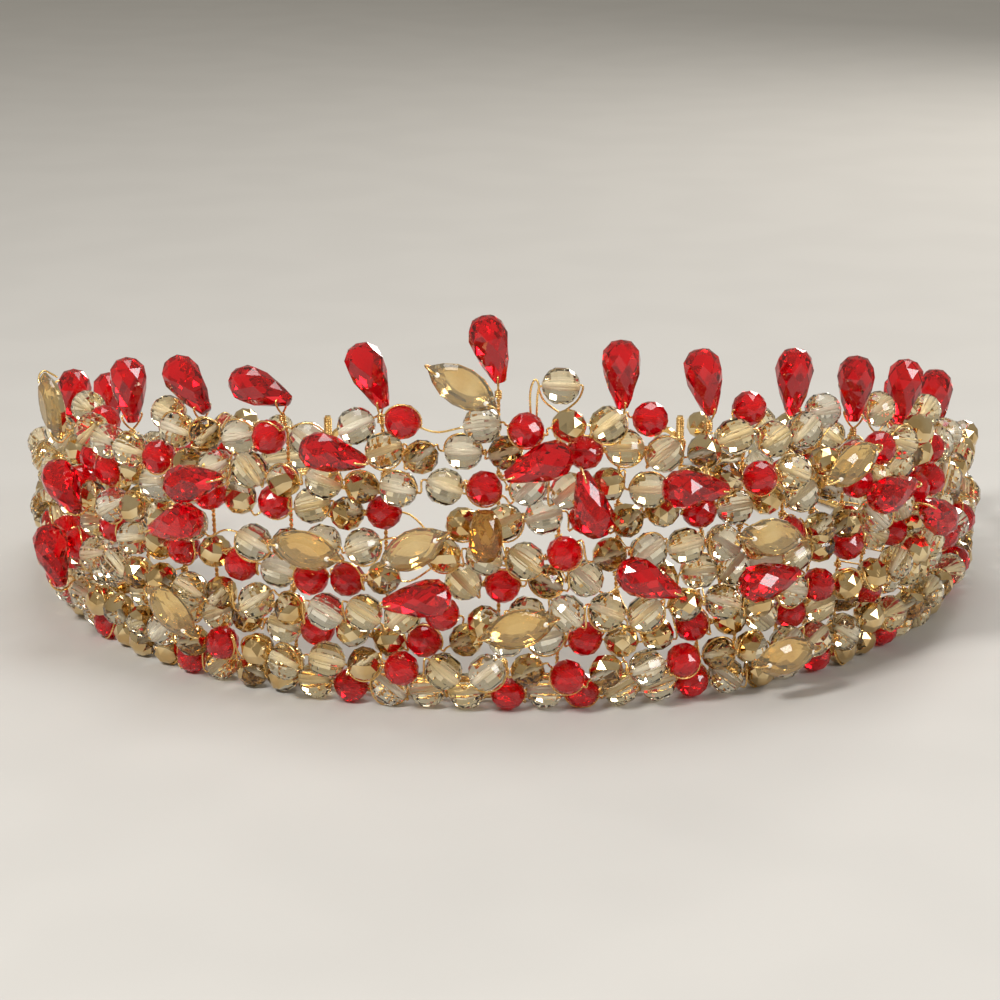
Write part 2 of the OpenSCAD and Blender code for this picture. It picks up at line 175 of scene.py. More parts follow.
class FinishSettings(bpy.types.PropertyGroup):
    """Colours of glass, plating and wire"""

    clear: bpy.props.FloatVectorProperty(
        name="Clear glass", description="Faint champagne tint of the clear beads",
        subtype="COLOR", default=(1.0, 0.95, 0.8))
    red: bpy.props.FloatVectorProperty(
        name="Red glass", description="Colour of the red beads and drops",
        subtype="COLOR", default=(0.94, 0.005, 0.012))
    plating: bpy.props.FloatVectorProperty(
        name="Plating", description="Colour of the thin gold mirror coat",
        subtype="COLOR", default=(0.83, 0.66, 0.38))
    topaz: bpy.props.FloatVectorProperty(
        name="Topaz glass", description="Colour of the smoky oval bead",
        subtype="COLOR", default=(0.62, 0.33, 0.07))
    gold: bpy.props.FloatVectorProperty(
        name="Gold wire", description="Colour of the craft wire",
        subtype="COLOR", default=(0.95, 0.66, 0.27))
    floor: bpy.props.FloatVectorProperty(
        name="Floor", description="Colour of the plain floor",
        subtype="COLOR", default=(0.52, 0.51, 0.49))


def beads():
    return bpy.context.scene.crown_beads


def wires():
    return bpy.context.scene.crown_wires


def finishes():
    return bpy.context.scene.crown_finishes


# ---------------------------------------------------------------- reading the frame
def merged_mesh(node):
    """A frame node's corners, merged by place, and its triangles"""
    mesh = frame["nodes"][node].data
    mesh.calc_loop_triangles()
    co = np.zeros(len(mesh.vertices) * 3)
    mesh.vertices.foreach_get("co", co)
    tris = np.zeros(len(mesh.loop_triangles) * 3, int)
    mesh.loop_triangles.foreach_get("vertices", tris)
    keys, back = np.unique(np.round(co.reshape(-1, 3) / SAME_PLACE).astype(np.int64),
                           axis=0, return_inverse=True)
    tris = back.reshape(-1)[tris].reshape(-1, 3)
    good = (tris[:, 0] != tris[:, 1]) & (tris[:, 1] != tris[:, 2]) & (tris[:, 0] != tris[:, 2])
    return keys * SAME_PLACE, tris[good]


def solids(node):
    """The separate solids of a frame node, as (corners, triangles) pairs"""
    points, tris = merged_mesh(node)
    label = np.arange(len(points))
    while True:
        low = label[tris].min(axis=1)
        new = label.copy()
        for k in range(3):
            np.minimum.at(new, tris[:, k], low)
        new = new[new]
        if (new == label).all():
            break
        label = new
    found = []
    for name in np.unique(label[tris[:, 0]]):
        mine = tris[label[tris[:, 0]] == name]
        used, local = np.unique(mine, return_inverse=True)
        found.append((points[used], local.reshape(-1, 3)))
    return found


def triangle_measures(points, tris):
    """Normals, areas and middles of a solid's triangles"""
    a, b, c = (points[tris[:, k]] for k in range(3))
    normals = np.cross(b - a, c - a)
    areas = np.linalg.norm(normals, axis=1)
    return normals / areas[:, None], areas, (a + b + c) / 3


def bore_axis(points, tris):
    """Direction of a solid's drilled hole, from the triangles that line it"""
    normals, areas, middles = triangle_measures(points, tris)
    reach = (normals @ points.T - np.einsum("ij,ij->i", normals, middles)[:, None]).max(axis=1)
    walls, sizes = normals[reach > WALL_REACH], areas[reach > WALL_REACH]
    _, vectors = np.linalg.eigh((walls * sizes[:, None]).T @ walls)
    return vectors[:, 0]


def drilled_beads(node):
    """(centre, drill axis, radius) of each bead of a frame node"""
    found = []
    for points, tris in solids(node):
        fit = np.linalg.lstsq(np.c_[2 * points, np.ones(len(points))],
                              (points ** 2).sum(axis=1), rcond=None)[0]
        centre = fit[:3]
        radius = math.sqrt(fit[3] + centre @ centre)
        found.append((Vector(centre), Vector(bore_axis(points, tris)), radius))
    return found


@functools.lru_cache(maxsize=None)
def threaded(node):
    """Each bead of a node as (centre, row axis, radius, leaning drill axis, turn)"""
    rng = random.Random(f"{beads().seed} {node}")
    lean = beads().lean if "crest" not in node else CREST_LEAN
    found = []
    for centre, axis, radius in drilled_beads(node):
        out = outward_at(centre)
        if axis.dot(Vector((-out[1], out[0], 0))) < 0:
            axis = -axis
        turn = Matrix.Rotation(rng.uniform(-lean, lean), 3, out)
        nod = Matrix.Rotation(rng.uniform(-lean, lean) / 3, 3, "Z")
        found.append((centre, axis, radius, turn @ nod @ axis, rng.uniform(0, 2 * math.pi)))
    return found


def tier_nodes(kind):
    """Names of the frame nodes that hold the row beads of a kind"""
    return [f"{kind}_beads_{tier}" for tier in TIERS]


@functools.lru_cache(maxsize=None)
def threaded_rows():
    """The beads of each threading wire, in order along it"""
    every = [b for kind in CUTS for node in tier_nodes(kind) for b in threaded(node)]
    reach = np.array([b[0] + b[1] * (b[2] - WIRE_NEAR) for b in every])
    rows = {}
    for node in frame["nodes"]:
        if node.startswith("strand_wire"):
            points, _ = merged_mesh(node)
            near = [np.linalg.norm(points - r, axis=1).min() < WIRE_NEAR for r in reach]
            mine = [b for b, close in zip(every, near) if close]
            rows[node] = sorted(mine, key=lambda b: azimuth(b[0]))
    return rows


def azimuth(point):
    """Angle round the band from its front, positive towards +X"""
    out = outward_at(point)
    return math.atan2(out[0], -out[1])


def stone_axes(points, tris):
    """Middle of a stone's surface and its axes, the longest first"""
    _, areas, middles = triangle_measures(points, tris)
    centre = np.average(middles, axis=0, weights=areas)
    offset = middles - centre
    _, vectors = np.linalg.eigh((offset * areas[:, None]).T @ offset)
    return Vector(centre), [Vector(vectors[:, k]) for k in (2, 1, 0)]


def teardrops(node):
    """(hole centre, long axis towards the round end, hole axis) of each teardrop of a node"""
    found = []
    for points, tris in solids(node):
        centre, (long, _, _) = stone_axes(points, tris)
        along = (points - np.array(centre)) @ np.array(long)
        if along.max() > -along.min():
            long, along = -long, -along
        hole = centre + long * (along.min() + HOLE_UP)
        out = outward_at(hole)
        found.append((hole, long, (out - long * out.dot(long)).normalized()))
    return found


def navettes(node):
    """(centre, long axis, outward flat axis) of each navette of a node"""
    found = []
    for points, tris in solids(node):
        centre, (long, _, thin) = stone_axes(points, tris)
        found.append((centre, long, thin if thin.dot(outward_at(centre)) > 0 else -thin))
    return found


@functools.lru_cache(maxsize=None)
def node_box(node):
    """Lowest and highest corner of a frame node"""
    return tuple(Vector(corner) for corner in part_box(node))


@functools.lru_cache(maxsize=None)
def band_middle():
    """How far back the centre of the round band lies"""
    low, high = node_box("base_hoop")
    return high[0] + low[1]


def outward_at(point):
    """Level direction from the middle of the band to a point"""
    return Vector((point[0], point[1] - band_middle(), 0)).normalized()


def on_band(angle, height, depth=0.0):
    """Point of the band at an azimuth and height, depth outwards"""
    radius = wires().band_radius + wires().band_flare * height + depth
    return Vector((radius * math.sin(angle), band_middle() - radius * math.cos(angle), height))


def basis(z_axis, x_hint):
    """Turns +Z onto one direction and +X as near as it can to another"""
    z = Vector(z_axis).normalized()
    x = Vector(x_hint)
    x = (x - z * x.dot(z)).normalized()
    y = z.cross(x)
    return Matrix((x, y, z)).transposed().to_4x4()


# ---------------------------------------------------------------- meshes
class Shape:
    """Corners, faces and a finish number for each face, gathered into one piece"""

    def __init__(self):
        self.points, self.faces, self.finish = [], [], []

    def add(self, points, faces, finish):
        base = len(self.points)
        self.points.extend(points)
        self.faces.extend(tuple(base + i for i in f) for f in faces)
        self.finish.extend(finish)

    def add_moved(self, other, matrix, finish=None):
        self.add([matrix @ Vector(p) for p in other.points], other.faces, finish or other.finish)

    def plain(self):
        """Gives every face the first finish"""
        self.finish = [0] * len(self.faces)
        return self


def new_mesh(name, points, faces):
    mesh = bpy.data.meshes.new(name)
    mesh.from_pydata([tuple(p) for p in points], [], faces)
    return mesh


def placed(name, data):
    """A new object of the scene that holds a mesh, lamp or camera"""
    made = bpy.data.objects.new(name, data)
    bpy.context.scene.collection.objects.link(made)
    return made


def piece(name, shape, materials, body=ROOT, replaces=(), smooth=False):
    """Makes one named piece of the crown that rides on a body"""
    mesh = new_mesh(name, shape.points, shape.faces)
    mesh.polygons.foreach_set("material_index", shape.finish)
    mesh.polygons.foreach_set("use_smooth", [smooth] * len(shape.faces))
    for material in materials:
        mesh.materials.append(bpy.data.materials[material])
    sewn = bmesh.new()
    sewn.from_mesh(mesh)
    bmesh.ops.remove_doubles(sewn, verts=sewn.verts, dist=SAME_PLACE)
    bmesh.ops.recalc_face_normals(sewn, faces=sewn.faces)
    sewn.to_mesh(mesh)
    sewn.free()
    made = placed(name, mesh)
    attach(made, body)
    if replaces:
        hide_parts(*replaces)


def circle(radius, height, around, turn=0.0):
    """Points of a level ring, turned by a share of one step"""
    angles = [2 * math.pi * (i + turn) / around for i in range(around)]
    return [Vector((radius * math.cos(a), radius * math.sin(a), height)) for a in angles]


def ring_solid(rings, around, stagger):
    """A cut solid of rings (radius, height) with a hole through it along Z"""
    shape = Shape()
    for k, (radius, height) in enumerate(rings):
        shape.points += circle(radius, height, around, 0.5 * (k % 2) if stagger else 0)
    for k in range(len(rings) - 1):
        for i in range(around):
            j = (i + 1) % around
            a, b = k * around + i, k * around + j
            c, d = (k + 1) * around + j, (k + 1) * around + i
            if not stagger:
                shape.faces.append((a, b, c, d))
            elif k % 2 == 0:
                shape.faces.extend([(a, b, d), (b, c, d)])
            else:
                shape.faces.extend([(a, b, c), (a, c, d)])
    return shape.plain()


def bead_cut(kind):
    """A round bead of radius 1 with flat facets between rings at polar angles"""
    around = getattr(beads(), f"{kind}_around")
    tilts, stagger = CUTS[kind]
    rim = math.asin(beads().hole_radius / BEAD_RADIUS)
    angles = [math.pi - rim] + [math.radians(180 - t) for t in tilts] + [rim]
    rings = [(math.sin(a), math.cos(a)) for a in angles]
    shape = ring_solid(rings, around, stagger)
    turn = 0.5 if stagger and (len(rings) - 1) % 2 else 0
    drill = circle(*rings[0], around) + circle(*rings[-1], around, turn)
    walls = [(i, around + i, around + (i + 1) % around, (i + 1) % around) for i in range(around)]
    shape.add(drill, walls, [1] * around)
    return shape


def drop_cut(around):
    """A briolette: point at Z 0, round end up, with rows of kite and triangle facets"""
    shape = Shape()
    shape.points.append(Vector((0, 0, 0)))
    for k, (width, height) in enumerate(DROP_ROWS):
        shape.points += circle(DROP_WIDTH / 2 * width, DROP_LENGTH * height, around, 0.5 * (k % 2))
    shape.points.append(Vector((0, 0, DROP_LENGTH)))
    top, last = len(shape.points) - 1, len(DROP_ROWS) - 1

    def at(k, i):
        return 1 + k * around + i % around

    for i in range(around):
        shape.faces += [(0, at(0, i + 1), at(0, i)), (at(last, i), at(last, i + 1), top)]
    for k in range(last):
        for i in range(around):
            a, b, c, d = at(k, i), at(k, i + 1), at(k + 1, i + 1), at(k + 1, i)
            shape.faces += [(a, c, d), (a, b, c)] if k % 2 else [(a, b, d), (b, c, d)]
    return shape.plain()


def navette_cut(length, width, thick):
    """A boat-shaped stone, long axis along Z, table towards -Y, with crown facets"""
    count = 16
    fullness = 2.3      # of the outline, where 2 is a plain arc
    taper = 0.8         # how much slower a row's length draws in than its width
    # Rows from the table back to the point, as shares of the outline and the thickness
    rows = [(0.5, -1.0), (0.8, -0.68), (1.0, -0.14), (1.0, 0.14), (0.72, 0.75), (0.45, 0.97)]
    shape = Shape()
    for scale, depth in rows:
        for i in range(count):
            t = 2 * math.pi * i / count
            z = math.cos(t)
            x = math.copysign(1 - abs(z) ** fullness, math.sin(t))
            shape.points.append(Vector((x * scale * width / 2, depth * thick / 2,
                                        z * (scale ** taper) * length / 2)))
    for k in range(len(rows) - 1):
        for i in range(count):
            j = (i + 1) % count
            a, b, c, d = k * count + i, k * count + j, (k + 1) * count + j, (k + 1) * count + i
            if rows[k][0] == rows[k + 1][0]:
                shape.faces.append((a, b, c, d))
            elif i % 2:
                shape.faces += [(a, b, c), (a, c, d)]
            else:
                shape.faces += [(a, b, d), (b, c, d)]
    shape.faces.append(tuple(range(count))[::-1])
    last = (len(rows) - 1) * count
    shape.faces.append(tuple(last + i for i in range(count)))
    return shape.plain()


def drilled(shape, holes, radius, foil=1.0):
    """Cuts straight holes along Y through a shape, at places in its XZ plane; facets that
    lie further back than foil are foiled"""
    sides, through, on_wall = 12, 6 * MM, 1.02 * radius
    blank = placed("stone_blank", new_mesh("stone_blank", shape.points, shape.faces))
    cutters = []
    for x, z in holes:
        tube = Shape()
        for y in (-through, through):
            for i in range(sides):
                a = 2 * math.pi * i / sides
                tube.points.append(Vector((x + radius * math.cos(a), y, z + radius * math.sin(a))))
        for i in range(sides):
            j = (i + 1) % sides
            tube.faces.append((i, j, sides + j, sides + i))
        tube.faces.append(tuple(range(sides))[::-1])
        tube.faces.append(tuple(range(sides, 2 * sides)))
        boolean = blank.modifiers.new("drill", "BOOLEAN")
        boolean.object = placed("drill", new_mesh("drill", tube.points, tube.faces))
        boolean.operation = "DIFFERENCE"
        boolean.solver = "EXACT"
        cutters.append(boolean.object)
    done = bpy.data.meshes.new_from_object(
        blank.evaluated_get(bpy.context.evaluated_depsgraph_get()))
    result = Shape()
    result.points = [v.co.copy() for v in done.vertices]
    for p in done.polygons:
        away = [Vector((p.center[0] - x, p.center[2] - z)).length for x, z in holes]
        result.faces.append(tuple(p.vertices))
        result.finish.append(1 if min(away) < on_wall else 2 if p.center[1] > foil else 0)
    for made in [blank, *cutters]:
        bpy.data.objects.remove(made)
    return result


def swept(path, radius, sides):
    """A wire of even thickness along a path of points"""
    shape = Shape()
    n = len(path)
    normal = None
    for i in range(n):
        t = (path[min(i + 1, n - 1)] - path[max(i - 1, 0)]).normalized()
        if normal is None:
            normal = t.orthogonal().normalized()
        normal = (normal - t * normal.dot(t)).normalized()
        side = t.cross(normal)
        for k in range(sides):
            a = 2 * math.pi * k / sides
            shape.points.append(path[i] + radius * (math.cos(a) * normal + math.sin(a) * side))
    for i in range(n - 1):
        for k in range(sides):
            a, b = i * sides + k, i * sides + (k + 1) % sides
            shape.faces.append((a, b, b + sides, a + sides))
    shape.faces.append(tuple(range(sides))[::-1])
    shape.faces.append(tuple((n - 1) * sides + k for k in range(sides)))
    return shape.plain()


def smooth_path(points, steps):
    """A round path through given points (Catmull-Rom)"""
    out = []
    ext = [points[0] * 2 - points[1], *points, points[-1] * 2 - points[-2]]
    for i in range(1, len(ext) - 2):
        p0, p1, p2, p3 = ext[i - 1:i + 3]
        for s in range(steps):
            t = s / steps
            out.append(0.5 * ((2 * p1) + (p2 - p0) * t + (2 * p0 - 5 * p1 + 4 * p2 - p3) * t ** 2
                              + (3 * p1 - p0 - 3 * p2 + p3) * t ** 3))
    out.append(points[-1])
    return out


def twist(points, offset, pitch, phase, step=0.22 * MM):
    """One strand of a twisted pair wound round a straight or bent path"""
    line = []
    for a, b in zip(points, points[1:]):
        count = max(int((b - a).length / step), 1)
        line += [a.lerp(b, k / count) for k in range(count)]
    line.append(points[-1])
    out, run, normal = [], 0.0, None
    for i, p in enumerate(line):
        t = (line[min(i + 1, len(line) - 1)] - line[max(i - 1, 0)]).normalized()
        normal = t.orthogonal() if normal is None else normal
        normal = (normal - t * normal.dot(t)).normalized()
        angle = phase + 2 * math.pi * run / pitch
        out.append(p + offset * (math.cos(angle) * normal + math.sin(angle) * t.cross(normal)))
        run += (line[min(i + 1, len(line) - 1)] - p).length
    return out


# ---------------------------------------------------------------- finishes
def socket_group(name, inputs, outputs):
    """An empty shader node group with named inputs and outputs"""
    group = bpy.data.node_groups.new(name, "ShaderNodeTree")
    for label, kind, value in inputs:
        made = group.interface.new_socket(label, in_out="INPUT", socket_type=kind)
        if value is not None:
            made.default_value = value
    for label, kind in outputs:
        group.interface.new_socket(label, in_out="OUTPUT", socket_type=kind)
    start = group.nodes.new("NodeGroupInput")
    end = group.nodes.new("NodeGroupOutput")
    return group, start, end


def noise_to(group, start, detail, low, high):
    """Soft noise at the group's scale, and the same spread out between two of its levels"""
    place = group.nodes.new("ShaderNodeTexCoord")
    noise = group.nodes.new("ShaderNodeTexNoise")
    noise.inputs["Detail"].default_value = detail
    group.links.new(place.outputs["Object"], noise.inputs["Vector"])
    group.links.new(start.outputs["Scale"], noise.inputs["Scale"])
    spread = group.nodes.new("ShaderNodeMapRange")
    spread.inputs["From Min"].default_value = low
    spread.inputs["From Max"].default_value = high
    group.links.new(noise.outputs["Fac"], spread.inputs["Value"])
    return noise, spread


def build_polish():
    """Fine polishing marks: a roughness that varies, and a height for a bump"""
    group, start, end = socket_group(
        "polish marks",
        [("Scale", "NodeSocketFloat", 900.0), ("Low Roughness", "NodeSocketFloat", 0.0),
         ("High Roughness", "NodeSocketFloat", 0.1)],
        [("Roughness", "NodeSocketFloat"), ("Height", "NodeSocketFloat")])
    noise, spread = noise_to(group, start, 3.0, 0.35, 0.7)
    group.links.new(start.outputs["Low Roughness"], spread.inputs["To Min"])
    group.links.new(start.outputs["High Roughness"], spread.inputs["To Max"])
    group.links.new(spread.outputs["Result"], end.inputs["Roughness"])
    group.links.new(noise.outputs["Fac"], end.inputs["Height"])


def build_tint():
    """A slow drift between two colours, as from one batch of glass to the next"""
    group, start, end = socket_group(
        "batch tint",
        [("Scale", "NodeSocketFloat", 120.0), ("First", "NodeSocketColor", (1, 1, 1, 1)),
         ("Second", "NodeSocketColor", (1, 1, 1, 1))],
        [("Colour", "NodeSocketColor")])
    _, spread = noise_to(group, start, 0.5, 0.4, 0.6)
    mix = group.nodes.new("ShaderNodeMix")
    mix.data_type = "RGBA"
    group.links.new(spread.outputs["Result"], mix.inputs["Factor"])
    group.links.new(start.outputs["First"], mix.inputs["A"])
    group.links.new(start.outputs["Second"], mix.inputs["B"])
    group.links.new(mix.outputs["Result"], end.inputs["Colour"])


def use_group(tree, name, **values):
    node = tree.nodes.new("ShaderNodeGroup")
    node.node_tree = bpy.data.node_groups[name]
    for label, value in values.items():
        node.inputs[label.replace("_", " ")].default_value = value
    return node


def shaded(name):
    """A new material, its node tree and its Principled shader"""
    material = bpy.data.materials.new(name)
    material.use_nodes = True
    tree = material.node_tree
    return material, tree, tree.nodes["Principled BSDF"]


def add_tint(tree, shader, first, second, scale=120.0):
    tint = use_group(tree, "batch tint", Scale=scale, First=(*first, 1), Second=(*second, 1))
    tree.links.new(tint.outputs["Colour"], shader.inputs["Base Color"])


def add_polish(tree, shader, low, high, scale=900.0, bump=0.0):
    polish = use_group(tree, "polish marks", Scale=scale, Low_Roughness=low, High_Roughness=high)
    tree.links.new(polish.outputs["Roughness"], shader.inputs["Roughness"])
    if bump:
        relief = tree.nodes.new("ShaderNodeBump")
        relief.inputs["Strength"].default_value = bump
        relief.inputs["Distance"].default_value = 0.02 * MM
        tree.links.new(polish.outputs["Height"], relief.inputs["Height"])
        tree.links.new(relief.outputs["Normal"], shader.inputs["Normal"])


def glass(name, first, second, ior, clear, low=0.0, high=0.05):
    _, tree, shader = shaded(name)
    add_tint(tree, shader, first, second)
    add_polish(tree, shader, low, high)
    shader.inputs["IOR"].default_value = ior
    shader.inputs["Transmission Weight"].default_value = clear


def metal(name, colour, fade, drift, low, high, **marks):
    _, tree, shader = shaded(name)
    add_tint(tree, shader, colour, scaled(colour, fade), drift)
    add_polish(tree, shader, low, high, **marks)
    shader.inputs["Metallic"].default_value = 1.0


def scaled(colour, by):
    return tuple(min(c * k, 1.0) for c, k in zip(colour, by))


def make_finishes():
    build_polish()
    build_tint()
    f = finishes()
    clear, red, topaz = tuple(f.clear), tuple(f.red), tuple(f.topaz)
    glass("clear glass", clear, scaled(clear, (1, 0.87, 0.6)), 1.55, 1.0)
    glass("drilled clear glass", (1, 0.97, 0.9), (1, 0.93, 0.8), 1.55, 0.1, 0.3, 0.5)
    glass("red glass", red, scaled(red, (0.8, 1, 1)), 1.6, 0.82)
    glass("deep red glass", scaled(red, (0.95, 0.6, 0.8)), scaled(red, (0.8, 1, 1)), 1.62, 0.95)
    glass("champagne glass", scaled(clear, (1, 0.96, 0.8)), scaled(clear, (1, 0.87, 0.58)),
          1.6, 0.9)
    glass("drilled red glass", scaled(red, (1, 3, 3)), red, 1.6, 0.2, 0.3, 0.6)
    glass("topaz glass", topaz, scaled(topaz, (0.8, 0.7, 0.6)), 1.55, 0.85)
    metal("gold plating", tuple(f.plating), (0.85, 0.75, 0.6), 260.0, 0.02, 0.16)
    metal("gold wire", tuple(f.gold), (0.86, 0.78, 0.66), 420.0, 0.14, 0.36, scale=2600.0,
          bump=0.35)


# ---------------------------------------------------------------- pieces
# The polar angles of each bead's rings of corners, and whether every other ring is turned
CUTS = {
    "clear": ((27, 50, 71, 109, 130, 153), False),
    "red": ((30, 55, 80, 100, 125, 150), True),
    "plated": ((34, 64, 90, 116, 146), True),
}
GLASS = {
    "clear": ("clear glass", "drilled clear glass"),
    "red": ("red glass", "drilled red glass"),
    "plated": ("clear glass", "drilled clear glass", "gold plating"),
}


def coated(cut, rng):
    """Finish numbers of a bead with a gold coat over one half, turned at random"""
    side = Vector((rng.gauss(0, 1), rng.gauss(0, 1), rng.gauss(0, 1))).normalized()
    number = []
    for face, kind in zip(cut.faces, cut.finish):
        middle = sum((cut.points[i] for i in face), Vector()) / len(face)
        number.append(2 if kind == 0 and middle.dot(side) > COAT_EDGE else kind)
    return number


def bead_pieces(kind, nodes):
    """Makes one piece of a kind of round bead for each frame node"""
    cut = bead_cut(kind)
    for node in nodes:
        rng = random.Random(f"{beads().seed} {node}")
        shape = Shape()
        for centre, _, radius, axis, turn in threaded(node):
            matrix = (Matrix.Translation(centre) @ basis(axis, outward_at(centre) + 0.3 * UP)
                      @ Matrix.Rotation(turn, 4, "Z") @ Matrix.Scale(radius, 4))
            shape.add_moved(cut, matrix, coated(cut, rng) if kind == "plated" else None)
        piece(f"cut_{node}", shape, GLASS[kind], replaces=[node])


class CROWN_OT_clear_beads(bpy.types.Operator):
    """Threads the clear champagne beads"""

    bl_idname = "crown.clear_beads"
    bl_label = "Clear beads"

    def execute(self, context):
        bead_pieces("clear", tier_nodes("clear"))
        return {"FINISHED"}


class CROWN_OT_red_beads(bpy.types.Operator):
    """Threads the red beads"""

    bl_idname = "crown.red_beads"
    bl_label = "Red beads"

    def execute(self, context):
        bead_pieces("red", tier_nodes("red"))
        return {"FINISHED"}


class CROWN_OT_plated_beads(bpy.types.Operator):
    """Threads the beads with a gold mirror coat on one half"""

    bl_idname = "crown.plated_beads"
    bl_label = "Half-plated beads"

    def execute(self, context):
        bead_pieces("plated", tier_nodes("plated"))
        return {"FINISHED"}


class CROWN_OT_crest_beads(bpy.types.Operator):
    """Sets the single round beads that stand on the crest"""

    bl_idname = "crown.crest_beads"
    bl_label = "Crest beads"

    def execute(self, context):
        for kind in ("clear", "red"):
            bead_pieces(kind, [f"crest_beads_{kind}"])
        return {"FINISHED"}


def place_drop(shape, cut, hole, long, axis):
    """Sets a cut teardrop with its hole at a place and its round end along `long`"""
    back = Matrix.Translation(Vector((0, 0, -HOLE_UP)))
    shape.add_moved(cut, Matrix.Translation(hole) @ basis(long, axis.cross(long)) @ back)


class CROWN_OT_drops(bpy.types.Operator):
    """Hangs the red teardrops, standing on the crest and lying on the band"""

    bl_idname = "crown.drops"
    bl_label = "Teardrops"

    def execute(self, context):
        cut = drilled(drop_cut(beads().drop_around), [(0, HOLE_UP)], DROP_HOLE)
        red = ("deep red glass", "drilled red glass")
        for joint in frame["joints"]:
            node = joint["child"].replace("drop", "crest_drop")
            shape = Shape()
            for _, long, _ in teardrops(node):
                place_drop(shape, cut, Vector(joint["pos_m"]), long, -Vector(joint["axis"]))
            piece(f"cut_{node}", shape, red, body=joint["child"], replaces=[node])
        shape = Shape()
        for hole, long, axis in teardrops("body_drops"):
            place_drop(shape, cut, hole, long, axis)
        piece("cut_body_drops", shape, red, replaces=["body_drops"])
        return {"FINISHED"}


class CROWN_OT_navettes(bpy.types.Operator):
    """Sets the clear boat-shaped stones and the smoky oval bead"""

    bl_idname = "crown.navettes"
    bl_label = "Navettes and oval bead"

    def execute(self, context):
        cut = drilled(navette_cut(*NAVETTE_SIZE), [(0, NAVETTE_HOLES), (0, -NAVETTE_HOLES)],
                      NAVETTE_HOLE, foil=FOIL_BEHIND)
        shape = Shape()
        for centre, long, axis in navettes("navette_stones"):
            shape.add_moved(cut, Matrix.Translation(centre) @ basis(long, long.cross(axis)))
        piece("cut_navettes", shape, ("champagne glass", "drilled clear glass", "gold plating"),
              replaces=["navette_stones"])
        self.oval()
        return {"FINISHED"}

    def oval(self):
        """The standing oval bead, of staggered rings closed at both ends"""
        low, high = node_box("topaz_bead")
        half = (high[2] - low[2]) / 2
        width = min(high[0] - low[0], high[1] - low[1]) / 2
        around = 12
        rounding = 0.82     # how far the ends draw in, where 1 comes to a point
        rings = [(width * math.sqrt(1 - rounding * s * s), s * half)
                 for s in (-0.97, -0.75, -0.4, 0.0, 0.4, 0.75, 0.97)]
        cut = ring_solid(rings, around, True)
        last = (len(rings) - 1) * around
        cut.faces += [tuple(range(around))[::-1], tuple(range(last, last + around))]
        shape = Shape()
        shape.add_moved(cut.plain(), Matrix.Translation((low + high) / 2))
        piece("cut_topaz_bead", shape, ("topaz glass",), replaces=["topaz_bead"])


def add_wire(shape, path, radius=None):
    """Sweeps one strand of wire into a shape, along a path held inside the crown's box"""
    radius = radius or wires().thread_radius
    room = Vector((radius, radius, radius)) * 1.05
    low, high = Vector(CAD_BOX[0]) + room, Vector(CAD_BOX[1]) - room
    path = [Vector(max(a, min(b, c)) for a, b, c in zip(low, high, p)) for p in path]
    made = swept(path, radius, wires().sides)
    shape.add(made.points, made.faces, made.finish)


def add_twisted(shape, path):
    """A twisted pair along a path, its strands just clear of each other"""
    for phase in (0, math.pi):
        add_wire(shape, twist(path, wires().thread_radius * 1.05, wires().twist_pitch, phase,
                              step=0.24 * MM))


def bent(origin, across, along, places):
    """A round path through (across, along) places in millimetres"""
    return smooth_path([origin + (across * a + along * b) * MM for a, b in places], 5)


def coil(centre, axis, radius, turns, pitch, start):
    """A small coil of wire round an axis, beginning at a direction"""
    x = (start - axis * start.dot(axis)).normalized()
    y = axis.cross(x)
    each_turn = 10
    path = []
    for k in range(int(turns * each_turn) + 1):
        a = 2 * math.pi * k / each_turn
        path.append(centre + axis * (pitch * k / each_turn)
                    + radius * (math.cos(a) * x + math.sin(a) * y))
    return path


def between(start, start_way, end, end_way, pull, steps=8):
    """A bent stretch of wire from one point and direction to another"""
    path = []
    for t in (k / steps for k in range(steps + 1)):
        path.append((2 * t ** 3 - 3 * t ** 2 + 1) * start
                    + (t ** 3 - 2 * t ** 2 + t) * pull * start_way
                    + (3 * t ** 2 - 2 * t ** 3) * end + (t ** 3 - t ** 2) * pull * end_way)
    return path


def wire_piece(name, shape, replaces=()):
    piece(name, shape, ("gold wire",), replaces=replaces, smooth=True)


def rib_path(angle, top):
    """Middle of a twisted rib, from its loop down to the hoop"""
    back = wires().rib_inside
    foot = node_box("base_hoop")[1][2] + HOOP_CLEAR
    return [on_band(angle, top, -PIN_INSIDE), on_band(angle, top - RIB_BEND, -back),
            on_band(angle, foot, -back - wires().band_flare * foot)]


class CROWN_OT_threads(bpy.types.Operator):
    """Threads each row of beads, from hole to hole"""

    bl_idname = "crown.threads"
    bl_label = "Threading wires"

    def execute(self, context):
        in_hole = (-0.9, -0.4, 0.4, 0.9)
        bulge = 0.35            # how much the wire leaves a hole outwards
        slack, longest = 1.2, 9 * MM
        for node, row in threaded_rows().items():
            path = []
            for (centre, _, radius, axis, _), after in zip(row, row[1:] + [None]):
                reach = radius + HOLE_CLEAR
                path += [centre + axis * reach * t for t in in_hole]
                if after:
                    start = centre + axis * reach
                    end = after[0] - after[3] * (after[2] + HOLE_CLEAR)
                    out = bulge * outward_at(start)
                    pull = min(slack * ((end - start).length + MM), longest)
                    path += between(start, axis + out, end, after[3] - out, pull)
            shape = Shape()
            add_wire(shape, path)
            wire_piece(f"thread_{node.removeprefix('strand_wire_')}", shape, [node])
        return {"FINISHED"}


